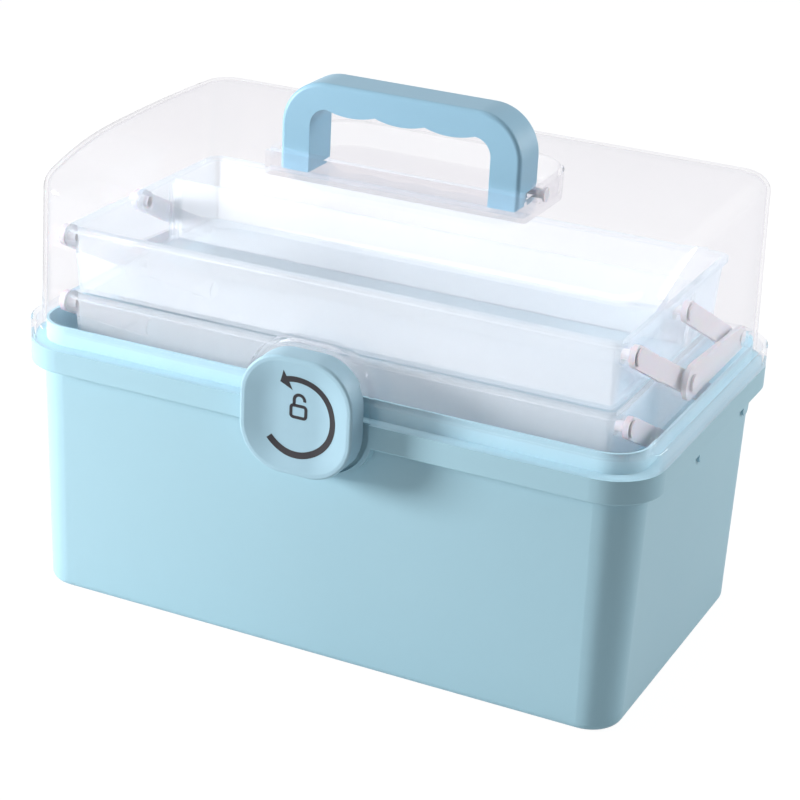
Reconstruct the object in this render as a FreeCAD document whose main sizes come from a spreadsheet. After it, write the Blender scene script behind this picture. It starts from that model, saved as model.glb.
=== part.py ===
import FreeCAD, Part
import math
import os
import Sketcher
from FreeCAD import Rotation, Vector

# Medicine box: an opaque tub, a clear hinged lid with a folding bail, a rotary latch
# and two clear trays on parallel arms that rise and step back as the lid opens.
# Frame: X along the front, Y towards the hinge, Z up, origin under the middle on the table.

doc = FreeCAD.newDocument("MedicineBox")
sheet = doc.addObject("Spreadsheet::Sheet", "Dims")

sizes = (
    # tub and its rim
    ("flange_length", 330.0),
    ("flange_depth", 193.0),
    ("flange_overhang", 6.65),
    ("flange_height", 12.0),
    ("flange_skin", 2.3),
    ("tub_height", 120.2),
    ("tub_draft", 2.7),
    ("tub_corner", 19.3),
    ("tub_wall", 2.8),
    ("tub_floor", 2.6),
    ("foot_round", 4.0),
    ("flange_round", 1.0),
    ("upstand_height", 9.8),
    ("upstand_wall", 1.6),
    # lid
    ("lid_wall", 1.9),
    ("lid_fit", 0.3),
    ("seat_gap", 0.2),
    ("lid_flange_height", 10.3),
    ("lid_ledge", 2.0),
    ("lid_draft", 2.0),
    ("lid_bevel", 8.5),
    ("crown_rise", 96.8),
    ("crown_place", 40.0),
    ("crown_radius", 1200.0),
    ("brow_radius", 190.0),
    ("brow_place", 24.0),
    # bail and its well
    ("well_front", 16.3),
    ("well_width", 134.0),
    ("well_depth", 62.4),
    ("well_corner", 24.0),
    ("well_sink", 13.4),
    ("well_wall", 1.9),
    ("bail_room", 4.0),
    ("bail_stand", 33.5),
    ("bail_lift", 1.3),
    ("bail_corner", 23.0),
    ("bail_leg", 15.5),
    ("bail_inner_corner", 9.0),
    ("grip_height", 12.7),
    ("finger_pitch", 26.0),
    ("finger_drop", 2.1),
    ("bail_front_gap", 2.4),
    ("bail_thickness", 22.9),
    ("bail_round", 2.2),
    ("heel_round", 4.2),
    ("bail_pivot_inset", 5.8),
    ("bail_pivot_rise", 5.5),
    ("bail_pin", 2.2),
    ("bail_boss", 4.6),
    ("side_gap", 0.4),
    # trays
    ("tray_front_room", 9.47),
    ("tray_rear_room", 24.87),
    ("tray_end_gap", 1.3),
    ("tray_corner", 5.0),
    ("tray_height", 33.5),
    ("tray_pitch", 34.0),
    ("tray_rise", 57.7),
    ("tray_wall", 1.6),
    ("tray_draft", 2.6),
    ("lip_reach", 2.0),
    ("lip_height", 2.4),
    ("pivot_drop", 6.5),
    ("divider_inset", 48.0),
    ("divider_thickness", 1.6),
    ("slot_play", 0.3),
    ("rib_width", 1.4),
    # arms, links and their pins
    ("pivot_inset", 6.7),
    ("rear_pivot_inset", 5.3),
    ("base_drop", 38.0),
    ("arm_half_width", 5.2),
    ("arm_thickness", 2.8),
    ("arm_play", 0.3),
    ("link_thickness", 2.4),
    ("link_room", 4.67),
    ("collar_thickness", 0.8),
    ("collar_radius", 5.0),
    ("link_eye", 8.8),
    ("link_tip", 6.2),
    ("link_lead", 7.0),
    ("link_drop", 1.9),
    ("pin_radius", 2.4),
    ("running_clearance", 0.06),
    ("head_radius", 4.0),
    ("head_thickness", 1.2),
    ("thin_head", 0.8),
    ("blind_end", 0.9),
    ("boss_radius", 5.0),
    # hinge
    ("hinge_gap", 0.4),
    ("knuckle_radius", 4.5),
    ("hinge_pin", 2.0),
    ("hinge_place", 88.0),
    ("lid_knuckle", 14.0),
    ("base_knuckle", 9.0),
    ("knuckle_gap", 0.4),
    # rotary latch
    ("knob_size", 58.0),
    ("knob_corner", 22.0),
    ("knob_rise", 1.7),
    ("knob_depth", 13.0),
    ("knob_standoff", 1.0),
    ("knob_wall", 2.2),
    ("dish_depth", 3.4),
    ("dish_rim", 2.6),
    ("dish_slope", 12.0),
    ("dish_round", 40.0),
    ("knob_round", 1.3),
    ("notch_top", 17.6),
    ("notch_depth", 1.3),
    ("seat_margin", 4.0),
    ("seat_rim", 2.2),
    ("seat_sink", 2.0),
    ("tongue_width", 40.0),
    ("tongue_thickness", 3.4),
    ("tongue_above", 3.7),
    ("tongue_below", 7.6),
    ("spindle_radius", 7.0),
    ("spindle_neck", 5.0),
    ("washer_reach", 3.4),
    ("washer_thickness", 1.2),
    ("washer_room", 1.5),
    ("keeper_width", 18.0),
    ("keeper_height", 4.0),
    ("keeper_rise", 16.0),
    ("hook_gap", 0.5),
    ("hook_height", 4.5),
    # shares of another size, and how far a cutting tool passes the face that it opens
    ("pin_head_ratio", 1.6),
    ("bail_hole_share", 0.6),
    ("bail_pin_share", 0.55),
    ("cut_margin", 1.0),
)
derived = (
    ("tub_length", "=flange_length - 2 * flange_overhang"),
    ("tub_depth", "=flange_depth - 2 * flange_overhang"),
    ("seam", "=tub_height + flange_height"),
    ("front_face", "=flange_depth / 2"),
    ("inner_length", "=tub_length - 2 * tub_wall + 2 * tub_draft * upstand_height / tub_height"),
    ("inner_depth", "=tub_depth - 2 * tub_wall + 2 * tub_draft * upstand_height / tub_height"),
    ("rim_length", "=inner_length + 2 * upstand_wall"),
    ("rim_depth", "=inner_depth + 2 * upstand_wall"),
    ("rim_corner", "=tub_corner - tub_wall + upstand_wall"),
    ("lid_length", "=rim_length + 2 * lid_fit + 2 * lid_wall"),
    ("lid_depth", "=rim_depth + 2 * lid_fit + 2 * lid_wall"),
    ("lid_corner", "=rim_corner + lid_fit + lid_wall"),
    ("lid_foot", "=seam + seat_gap"),
    ("lid_shoulder", "=lid_foot + lid_flange_height"),
    ("lid_start", "=lid_shoulder - lid_ledge"),
    ("crown_height", "=seam + crown_rise"),
    ("lid_rise", "=crown_height - lid_start"),
    ("well_floor", "=crown_height - well_sink"),
    ("bail_width", "=well_width - 2 * bail_room"),
    ("bail_top", "=crown_height + bail_stand"),
    ("bail_bottom", "=well_floor + bail_lift"),
    ("grip_underside", "=bail_top - grip_height"),
    ("bail_front", "=well_front - bail_front_gap"),
    ("bail_pivot_back", "=bail_thickness - bail_front - bail_pivot_inset"),
    ("bail_pivot_height", "=bail_bottom + bail_pivot_rise"),
    ("link_outer_face", "=lid_length / 2 - lid_wall - link_room"),
    ("link_inner_face", "=link_outer_face - link_thickness"),
    ("arm_outer_face", "=link_inner_face - 2 * (arm_play + collar_thickness)"),
    ("arm_inner_face", "=arm_outer_face - arm_thickness"),
    ("tray_length", "=2 * (arm_inner_face - tray_end_gap)"),
    ("tray_depth", "=lid_depth - 2 * lid_wall - tray_front_room - tray_rear_room"),
    ("tray_shift", "=(tray_rear_room - tray_front_room) / 2"),
    ("upper_rim", "=seam + tray_rise"),
    ("middle_rim", "=upper_rim - tray_pitch"),
    ("divider_place", "=tray_depth / 2 - tray_shift - divider_inset"),
    ("front_pivot", "=tray_depth / 2 + tray_shift - pivot_inset"),
    ("pivot_pitch", "=(tray_depth - pivot_inset - rear_pivot_inset) / 2"),
    ("upper_pivot", "=upper_rim - pivot_drop"),
    ("middle_pivot", "=middle_rim - pivot_drop"),
    ("base_pivot", "=middle_pivot - base_drop"),
    ("middle_line", "=pivot_pitch - front_pivot"),
    ("rear_line", "=2 * pivot_pitch - front_pivot"),
    ("base_run", "=pivot_pitch * base_drop / tray_pitch"),
    ("base_front_line", "=base_run - front_pivot"),
    ("base_rear_line", "=middle_line + base_run"),
    ("link_place", "=rear_line + link_lead"),
    ("link_height", "=middle_pivot - link_drop"),
    ("pin_bore", "=pin_radius + running_clearance"),
    ("hinge_back", "=knuckle_radius + hinge_gap"),
    ("hinge_line", "=front_face + hinge_back"),
    ("knob_height", "=seam + knob_rise"),
    ("knob_back", "=front_face + knob_standoff"),
    ("knob_front", "=knob_back + knob_depth"),
    ("seat_width", "=knob_size + 2 * seat_margin"),
    ("seat_corner", "=knob_corner + seat_margin"),
    ("washer_radius", "=spindle_neck + washer_reach"),
    ("room_radius", "=washer_radius + 2 * seat_gap"),
)

for row, (alias, value) in enumerate(sizes + derived, start=1):
    sheet.set("A%d" % row, alias)
    sheet.set("B%d" % row, str(value))
    sheet.setAlias("B%d" % row, alias)
doc.recompute()

# how near two measured places have to lie to count as one
closeness = 0.01
sides = (("right", 1), ("left", -1))
nodes = []


def value(alias):
    return float(sheet.get(alias))


def text(expression):
    """Puts the sheet's name before each alias of an expression."""
    words = sorted((name for name, _ in sizes + derived), key=len, reverse=True)
    out = ""
    place = 0
    while place < len(expression):
        for word in words:
            ends = place + len(word)
            before = expression[place - 1] if place else " "
            after = expression[ends] if ends < len(expression) else " "
            free = not (before.isalnum() or before in "_.") and not (after.isalnum() or after == "_")
            if expression.startswith(word, place) and free:
                out += "Dims." + word
                place = ends
                break
        else:
            out += expression[place]
            place += 1
    return out


def bind(thing, path, expression):
    thing.setExpression(path, text(expression))


def newBody(label):
    body = doc.addObject("PartDesign::Body", label)
    body.Label = label
    return body


def newSketch(body, name, role, level, across, along):
    """A sketch on one of the body's own planes, moved along its normal and sideways."""
    sketch = body.newObject("Sketcher::SketchObject", name)
    plane = next(item for item in body.Origin.OriginFeatures if item.Role == role)
    sketch.AttachmentSupport = [(plane, "")]
    sketch.MapMode = "FlatFace"
    bind(sketch, "AttachmentOffset.Base.z", level)
    bind(sketch, "AttachmentOffset.Base.x", across)
    bind(sketch, "AttachmentOffset.Base.y", along)
    return sketch


def sized(sketch, rules):
    """Adds constraints that carry a name and an expression."""
    for name, constraint, expression in rules:
        index = sketch.addConstraint(constraint)
        sketch.renameConstraint(index, name)
        bind(sketch, "Constraints." + name, expression)


def line(a, b):
    return Part.LineSegment(Vector(a[0], a[1], 0), Vector(b[0], b[1], 0))


def arc(centre, radius, start, end):
    circle = Part.Circle(Vector(centre[0], centre[1], 0), Vector(0, 0, 1), radius)
    return Part.ArcOfCircle(circle, math.radians(start), math.radians(end))


def result(expression):
    """The number that an expression of the sheet's aliases stands for now."""
    probe = doc.addObject("App::FeaturePython", "Probe")
    probe.addProperty("App::PropertyFloat", "Number")
    bind(probe, "Number", expression)
    doc.recompute()
    number = probe.Number
    doc.removeObject(probe.Name)
    return number


def roundedRectangle(body, name, role, width, height, radius, level="0", across="0", along="0"):
    """A rectangle with four equal round corners, centred on the sketch's origin."""
    sketch = newSketch(body, name, role, level, across, along)
    drawRoundedRectangle(sketch, width, height, radius, "outer")
    return sketch


def drawRoundedRectangle(sketch, width, height, radius, tag):
    first = sketch.GeometryCount
    w, d, r = result(width) / 2, result(height) / 2, result(radius)
    runs = (((r - w, -d), (w - r, -d)), ((w, r - d), (w, d - r)),
            ((w - r, d), (r - w, d)), ((-w, d - r), (-w, r - d)))
    centres = ((w - r, r - d), (w - r, d - r), (r - w, d - r), (r - w, r - d))
    for turn in range(4):
        sketch.addGeometry(line(*runs[turn]), False)
        sketch.addGeometry(arc(centres[turn], r, 90 * turn - 90, 90 * turn), False)
    ids = [first + k for k in range(8)]
    for turn in range(4):
        run, corner, following = ids[2 * turn], ids[2 * turn + 1], ids[(2 * turn + 2) % 8]
        sketch.addConstraint(Sketcher.Constraint("Tangent", run, 2, corner, 1))
        sketch.addConstraint(Sketcher.Constraint("Tangent", corner, 2, following, 1))
        direction = "Vertical" if turn % 2 else "Horizontal"
        sketch.addConstraint(Sketcher.Constraint(direction, run))
    for corner in (3, 5, 7):
        sketch.addConstraint(Sketcher.Constraint("Equal", ids[1], ids[corner]))
    sketch.addConstraint(Sketcher.Constraint("Symmetric", ids[1], 3, ids[5], 3, -1, 1))
    sized(sketch, (
        (tag + "_corner", Sketcher.Constraint("Radius", ids[1], r), radius),
        (tag + "_width", Sketcher.Constraint("DistanceX", ids[6], 1, ids[2], 1, 2 * w), width),
        (tag + "_height", Sketcher.Constraint("DistanceY", ids[0], 1, ids[4], 1, 2 * d), height),
    ))


def archOutline(body, name, role, width, reach, radius, level="0", across="0", along="0", up=True):
    """A square-footed outline from the sketch's X axis to two round corners at its far end."""
    sketch = newSketch(body, name, role, level, across, along)
    w, h, r = result(width) / 2, result(reach), result(radius)
    if up:
        points = ((-w, 0), (w, 0), (w, h - r), (w - r, h), (r - w, h), (-w, h - r))
        corners = (arc((w - r, h - r), r, 0, 90), arc((r - w, h - r), r, 90, 180))
    else:
        points = ((w, 0), (-w, 0), (-w, r - h), (r - w, -h), (w - r, -h), (w, r - h))
        corners = (arc((r - w, r - h), r, 180, 270), arc((w - r, r - h), r, 270, 360))
    shapes = (line(points[0], points[1]), line(points[1], points[2]), corners[0],
              line(points[3], points[4]), corners[1], line(points[5], points[0]))
    for shape in shapes:
        sketch.addGeometry(shape, False)
    rules = [("Coincident", 0, 2, 1, 1), ("Tangent", 1, 2, 2, 1), ("Tangent", 2, 2, 3, 1),
             ("Tangent", 3, 2, 4, 1), ("Tangent", 4, 2, 5, 1), ("Coincident", 5, 2, 0, 1),
             ("Horizontal", 3), ("Vertical", 1), ("Vertical", 5), ("Equal", 2, 4),
             ("Symmetric", 0, 1, 0, 2, -1, 1)]
    for rule in rules:
        sketch.addConstraint(Sketcher.Constraint(*rule))
    ends = (0, 1, 0, 2) if up else (0, 2, 0, 1)
    tall = (-1, 1, 3, 1) if up else (3, 1, -1, 1)
    sized(sketch, (
        ("corner", Sketcher.Constraint("Radius", 2, r), radius),
        ("width", Sketcher.Constraint("DistanceX", *ends, 2 * w), width),
        ("reach", Sketcher.Constraint("DistanceY", *tall, h), reach),
    ))
    return sketch


def circles(body, name, role, radius, places, level="0"):
    """One circle of the same radius at each place; a place is two expressions."""
    sketch = newSketch(body, name, role, level, "0", "0")
    drawCircles(sketch, radius, places, 0)
    return sketch


def drawCircles(sketch, radius, places, offset):
    for count, (across, along) in enumerate(places):
        x, y, r = result(across), result(along), result(radius)
        index = sketch.GeometryCount
        sketch.addGeometry(Part.Circle(Vector(x, y, 0), Vector(0, 0, 1), r), False)
        tag = "hole%d_" % (count + offset)
        rules = [(tag + "radius", Sketcher.Constraint("Radius", index, r), radius)]
        for axis, number, words in (("DistanceX", x, across), ("DistanceY", y, along)):
            if number >= 0:
                rule = Sketcher.Constraint(axis, -1, 1, index, 3, number)
                rules.append((tag + axis, rule, words))
            else:
                rule = Sketcher.Constraint(axis, index, 3, -1, 1, -number)
                rules.append((tag + axis, rule, "-(" + words + ")"))
        sized(sketch, rules)


def pad(body, name, sketch, length, taper=None, back=False, middle=False):
    feature = body.newObject("PartDesign::Pad", name)
    feature.Profile = sketch
    feature.Reversed = back
    feature.Midplane = middle
    bind(feature, "Length", length)
    if taper:
        bind(feature, "TaperAngle", taper)
    sketch.Visibility = False
    doc.recompute()
    return feature


def pocket(body, name, sketch, length, taper=None, forward=False, middle=False):
    """A pocket goes against the sketch's normal, or along it when forward is set."""
    before = body.Shape.Volume
    feature = body.newObject("PartDesign::Pocket", name)
    feature.Profile = sketch
    feature.Reversed = forward
    feature.Midplane = middle
    bind(feature, "Length", length)
    if taper:
        bind(feature, "TaperAngle", taper)
    sketch.Visibility = False
    doc.recompute()
    if not body.Shape.Volume < before - closeness:
        raise RuntimeError(name + " of " + body.Label + " removed nothing")
    return feature


def fillet(body, name, radius, chosen):
    """Rounds the edges of the body's tip that the test picks."""
    base = body.Tip
    names = ["Edge%d" % (k + 1) for k, edge in enumerate(base.Shape.Edges) if chosen(edge)]
    feature = body.newObject("PartDesign::Fillet", name)
    feature.Base = (base, names)
    bind(feature, "Radius", radius)
    doc.recompute()
    return feature


def box(name, lengths, corner):
    """A block from its three lengths and its lowest corner, all expressions."""
    block = doc.addObject("Part::Box", name)
    for path, words in zip(("Length", "Width", "Height"), lengths):
        bind(block, path, words)
    for path, words in zip("xyz", corner):
        bind(block, "Placement.Base." + path, words)
    return block


def rod(name, radius, length, start):
    """A cylinder along +X from its start point, all expressions."""
    cylinder = doc.addObject("Part::Cylinder", name)
    cylinder.Placement.Rotation = Rotation(Vector(0, 1, 0), 90)
    bind(cylinder, "Radius", radius)
    bind(cylinder, "Height", length)
    for path, words in zip("xyz", start):
        bind(cylinder, "Placement.Base." + path, words)
    return cylinder


def mirroredRod(name, side, radius, inner, outer, along, height):
    """A rod between two distances from the middle plane, on the right or the left."""
    start = inner if side > 0 else "-(" + outer + ")"
    return rod(name, radius, "(" + outer + ") - (" + inner + ")", (start, along, height))


def fuse(name, shapes):
    joined = doc.addObject("Part::MultiFuse", name)
    joined.Shapes = shapes
    doc.recompute()
    return joined


def cut(name, base, tool):
    less = doc.addObject("Part::Cut", name)
    less.Base = base
    less.Tool = tool
    doc.recompute()
    return less


def group(name, shapes):
    together = doc.addObject("Part::Compound", name)
    together.Links = shapes
    doc.recompute()
    return together


def node(thing, label):
    """Names a finished piece; its file takes the same name."""
    thing.Label = label
    nodes.append(thing)


def isLevel(edge, height):
    bounds = edge.BoundBox
    return abs(bounds.ZMin - height) < closeness and abs(bounds.ZMax - height) < closeness


# Tub: drafted walls, a hollow rim flange, a thin upstand that the lid closes around

def makeTub():
    body = newBody("tub_shell")
    slope = "atan(tub_draft / tub_height)"
    foot = roundedRectangle(body, "FootOutline", "XY_Plane", "tub_length - 2 * tub_draft",
                            "tub_depth - 2 * tub_draft", "tub_corner - tub_draft")
    pad(body, "Walls", foot, "tub_height", taper=slope)
    fillet(body, "FootRound", "foot_round", lambda edge: isLevel(edge, 0))
    rim = roundedRectangle(body, "FlangeOutline", "XY_Plane", "flange_length", "flange_depth",
                           "tub_corner + flange_overhang", level="tub_height")
    pad(body, "Flange", rim, "flange_height")
    fillet(body, "FlangeRound", "flange_round",
           lambda edge: isLevel(edge, value("tub_height")) and onFlange(edge))
    lip = roundedRectangle(body, "UpstandOutline", "XY_Plane", "rim_length", "rim_depth",
                           "rim_corner", level="seam")
    pad(body, "Upstand", lip, "upstand_height")
    channel = roundedRectangle(body, "ChannelOutline", "XY_Plane", "flange_length - 2 * flange_skin",
                               "flange_depth - 2 * flange_skin",
                               "tub_corner + flange_overhang - flange_skin", level="tub_height")
    drawRoundedRectangle(channel, "tub_length", "tub_depth", "tub_corner", "inner")
    pocket(body, "Channel", channel, "flange_height - flange_skin", forward=True)
    hollow = roundedRectangle(
        body, "InsideOutline", "XY_Plane",
        "tub_length - 2 * tub_wall - 2 * tub_draft * (1 - tub_floor / tub_height)",
        "tub_depth - 2 * tub_wall - 2 * tub_draft * (1 - tub_floor / tub_height)",
        "tub_corner - tub_wall - tub_draft * (1 - tub_floor / tub_height)", level="tub_floor")
    pocket(body, "Inside", hollow, "seam + upstand_height - tub_floor", taper=slope, forward=True)
    addLatchSeat(body)
    addPivotBosses(body)
    pieces = [body]
    for label, side in sides:
        pieces += baseKnuckles(label, side)
    whole = fuse("TubWithKnuckles", pieces)
    return cut("TubBored", whole, hingeBores("TubHingeBores", "hinge_pin"))


def onFlange(edge):
    wide = value("flange_length") / 2 - closeness
    deep = value("flange_depth") / 2 - closeness
    corner = value("tub_corner")
    bounds = edge.BoundBox
    reach_x = max(abs(bounds.XMin), abs(bounds.XMax))
    reach_y = max(abs(bounds.YMin), abs(bounds.YMax))
    return reach_x > wide - corner and reach_y > deep - corner and (reach_x > wide or reach_y > deep)


def addLatchSeat(body):
    """The half of the round-cornered seat below the seam, with the tongue for the knob."""
    below = "seat_width / 2 - (knob_height - seam)"
    outline = archOutline(body, "SeatOutline", "XZ_Plane", "seat_width", below, "seat_corner",
                          level="front_face", along="seam", up=False)
    pad(body, "Seat", outline, "flange_overhang + tub_wall / 2", back=True)
    inside = archOutline(body, "SeatInside", "XZ_Plane", "seat_width - 2 * seat_rim",
                         below + " - seat_rim", "seat_corner - seat_rim",
                         level="front_face", along="seam", up=False)
    pocket(body, "SeatPocket", inside, "seat_sink")
    tongue = roundedRectangle(body, "TongueOutline", "XZ_Plane", "tongue_width",
                              "2 * room_radius + tongue_above + tongue_below", "spindle_neck",
                              level="front_face", along="knob_height + (tongue_above - tongue_below) / 2")
    pad(body, "Tongue", tongue, "tongue_thickness", back=True)
    room = roundedRectangle(body, "WasherRoomOutline", "XZ_Plane", "tongue_width - 2 * tongue_thickness",
                            "2 * room_radius", "spindle_neck",
                            level="front_face - tongue_thickness", along="knob_height")
    pocket(body, "WasherRoom", room, "washer_thickness + washer_room")
    bore = circles(body, "SpindleBoreOutline", "XZ_Plane", "spindle_radius + running_clearance",
                   (("0", "knob_height"),), level="front_face + seat_gap")
    pocket(body, "SpindleBore", bore, "tongue_thickness + 2 * seat_gap")


def addPivotBosses(body):
    """Inside bosses on the end walls and the bores of the arms' lower pins."""
    places = (("base_front_line", "base_pivot"), ("base_rear_line", "base_pivot"))
    for label, side in sides:
        face = "arm_outer_face + arm_play"
        boss = circles(body, label + "BossOutline", "YZ_Plane", "boss_radius", places,
                       level="%d * (%s)" % (side, face))
        pad(body, label + "Bosses", boss, "tub_length / 2 - tub_wall / 2 - (" + face + ")",
            back=side < 0)
        bore = circles(body, label + "BoreOutline", "YZ_Plane", "pin_radius", places,
                       level="%d * (tub_length / 2 + cut_margin)" % side)
        pocket(body, label + "Bores", bore, "tub_length / 2 - arm_outer_face + cut_margin",
               forward=side < 0)


# Rear hinges: two tub knuckles with one lid knuckle between them, on a pin

def knuckle(name, start, length, web_bottom, web_height):
    """A hinge barrel with the web that joins it to the rim."""
    barrel = rod(name + "Barrel", "knuckle_radius", length, (start, "hinge_line", "seam"))
    web = box(name + "Web", (length, "hinge_back + flange_skin / 2", web_height),
              (start, "front_face - flange_skin / 2", web_bottom))
    return [barrel, web]


def baseKnuckles(label, side):
    middle = "%d * hinge_place" % side
    pieces = []
    half = "lid_knuckle / 2 + knuckle_gap"
    for name, start in (("Near", middle + " - (" + half + ") - base_knuckle"),
                        ("Far", middle + " + " + half)):
        pieces += knuckle(label + name, start, "base_knuckle", "seam - 2 * knuckle_radius",
                          "2 * knuckle_radius - seat_gap")
    return pieces


def lidKnuckle(label, side):
    start = "%d * hinge_place - lid_knuckle / 2" % side
    return knuckle(label + "Lid", start, "lid_knuckle", "lid_foot + seat_gap",
                   "2 * knuckle_radius - lid_ledge")


def hingeBores(name, radius):
    reach = "lid_knuckle / 2 + base_knuckle + 2 * cut_margin"
    tools = [rod(name + label, radius, "2 * (" + reach + ")",
                 ("%d * hinge_place - (%s)" % (side, reach), "hinge_line", "seam"))
             for label, side in sides]
    return fuse(name, tools)


def makeHingePins():
    reach = "lid_knuckle / 2 + knuckle_gap + base_knuckle"
    pins = []
    for label, side in sides:
        shank = rod(label + "HingeShank", "hinge_pin", "2 * (" + reach + ")",
                    ("%d * hinge_place - (%s)" % (side, reach), "hinge_line", "seam"))
        head = rod(label + "HingeHead", "hinge_pin * pin_head_ratio", "head_thickness",
                   ("%d * hinge_place + %s" % (side, reach), "hinge_line", "seam"))
        pins.append(fuse(label + "HingePin", [shank, head]))
    return group("HingePins", pins)


# Lid: a clear drafted cap with an arched top, an outer rim flange and a well for the bail

def lidBlock(label, inset):
    """The lid's outside, or its inside when the inset is the wall."""
    body = newBody(label)
    slope = "-atan(lid_draft / lid_rise)"
    plan = roundedRectangle(body, "Plan", "XY_Plane", "lid_length - 2 * (%s)" % inset,
                            "lid_depth - 2 * (%s)" % inset, "lid_corner - (%s)" % inset,
                            level="lid_start")
    pad(body, "Block", plan, "lid_rise + lid_bevel", taper=slope)
    pocket(body, "Arch", archProfile(body, inset), "lid_length", middle=True)
    fillet(body, "Bevel", "lid_bevel - (%s)" % inset, isTopEdge)
    return body


def isTopEdge(edge):
    return edge.BoundBox.ZMin > value("lid_start") + closeness


def archProfile(body, inset):
    """Two tangent arcs from the low front brow to the nearly flat crown, and the air above."""
    sketch = newSketch(body, "ArchProfile", "YZ_Plane", "0", "0", "0")
    crown, flat = result("crown_height"), result("crown_radius")
    inner, peak = result(inset), result("crown_place")
    brow, join = result("brow_radius"), result("brow_place")
    reach = result("flange_depth / 2 + lid_bevel")
    top = crown + result("lid_bevel * 2")
    flat_r, brow_r = flat - inner, brow - inner
    flat_centre = (peak, crown - flat)
    lean = math.asin((peak + join) / flat)
    meet = (peak - flat_r * math.sin(lean), crown - flat + flat_r * math.cos(lean))
    brow_centre = (meet[0] + brow_r * math.sin(lean), meet[1] - brow_r * math.cos(lean))
    front_angle = math.degrees(math.acos((-reach - brow_centre[0]) / brow_r))
    meet_angle = 90 + math.degrees(lean)
    rear_angle = math.degrees(math.acos((reach - flat_centre[0]) / flat_r))
    front_end = (-reach, brow_centre[1] + brow_r * math.sin(math.radians(front_angle)))
    rear_end = (reach, flat_centre[1] + flat_r * math.sin(math.radians(rear_angle)))
    sketch.addGeometry(arc(flat_centre, flat_r, rear_angle, meet_angle), False)
    sketch.addGeometry(arc(brow_centre, brow_r, meet_angle, front_angle), False)
    sketch.addGeometry(line(front_end, (-reach, top)), False)
    sketch.addGeometry(line((-reach, top), (reach, top)), False)
    sketch.addGeometry(line((reach, top), rear_end), False)
    for rule in (("Tangent", 0, 2, 1, 1), ("Coincident", 1, 2, 2, 1), ("Coincident", 2, 2, 3, 1),
                 ("Coincident", 3, 2, 4, 1), ("Coincident", 4, 2, 0, 1), ("Vertical", 2),
                 ("Vertical", 4), ("Symmetric", 3, 1, 3, 2, -2)):
        sketch.addConstraint(Sketcher.Constraint(*rule))
    sized(sketch, (
        ("flat_radius", Sketcher.Constraint("Radius", 0, flat_r), "crown_radius - (%s)" % inset),
        ("brow_radius", Sketcher.Constraint("Radius", 1, brow_r), "brow_radius - (%s)" % inset),
        ("peak", Sketcher.Constraint("DistanceX", -1, 1, 0, 3, peak), "crown_place"),
        ("sink", Sketcher.Constraint("DistanceY", 0, 3, -1, 1, flat - crown), "crown_radius - crown_height"),
        ("join", Sketcher.Constraint("DistanceX", 0, 2, 0, 3, flat_r * math.sin(lean)),
         "(crown_place + brow_place) * (crown_radius - (%s)) / crown_radius" % inset),
        ("reach", Sketcher.Constraint("DistanceX", 3, 1, 3, 2, 2 * reach), "flange_depth + 2 * lid_bevel"),
        ("top", Sketcher.Constraint("DistanceY", -1, 1, 3, 1, top), "crown_height + 2 * lid_bevel"),
    ))
    return sketch


def lidFlange():
    """The ledge and skirt round the lid's foot, with the arched half of the latch seat."""
    body = newBody("lid_rim")
    outer = roundedRectangle(body, "SkirtOutline", "XY_Plane", "flange_length", "flange_depth",
                             "tub_corner + flange_overhang", level="lid_foot")
    pad(body, "Skirt", outer, "lid_flange_height")
    fillet(body, "ShoulderRound", "flange_round", lambda edge: isLevel(edge, value("lid_shoulder")))
    above = "seat_width / 2 + knob_height - lid_foot"
    seat = archOutline(body, "SeatOutline", "XZ_Plane", "seat_width", above, "seat_corner",
                       level="front_face", along="lid_foot")
    pad(body, "Seat", seat, "front_face - (lid_depth / 2 - lid_wall)", back=True)
    channel = roundedRectangle(body, "ChannelOutline", "XY_Plane", "flange_length - 2 * flange_skin",
                               "flange_depth - 2 * flange_skin",
                               "tub_corner + flange_overhang - flange_skin", level="lid_foot")
    pocket(body, "Channel", channel, "lid_start - lid_foot", forward=True)
    inside = archOutline(body, "SeatInside", "XZ_Plane", "seat_width - 2 * seat_rim",
                         above + " - seat_rim", "seat_corner - seat_rim",
                         level="front_face", along="lid_foot")
    pocket(body, "SeatPocket", inside, "front_face - lid_depth / 2 - seat_gap")
    return body


def lidOpening(level, height):
    """The clear space inside the lid's foot."""
    body = newBody("lid_opening")
    plan = roundedRectangle(body, "OpeningOutline", "XY_Plane", "lid_length - 2 * lid_wall",
                            "lid_depth - 2 * lid_wall", "lid_corner - lid_wall", level=level)
    pad(body, "Opening", plan, height)
    return body


def wellBlock(label, grow, bottom):
    """The well for the bail in plan: straight front, wide round corners at the rear."""
    body = newBody(label)
    outline = archOutline(body, "WellOutline", "XY_Plane", "well_width + 2 * (%s)" % grow,
                          "well_depth + 2 * (%s)" % grow, "well_corner + (%s)" % grow,
                          level=bottom, along="0 - well_front - (%s)" % grow)
    pad(body, "Well", outline, "crown_height + lid_bevel - (%s)" % bottom)
    return body


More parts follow.
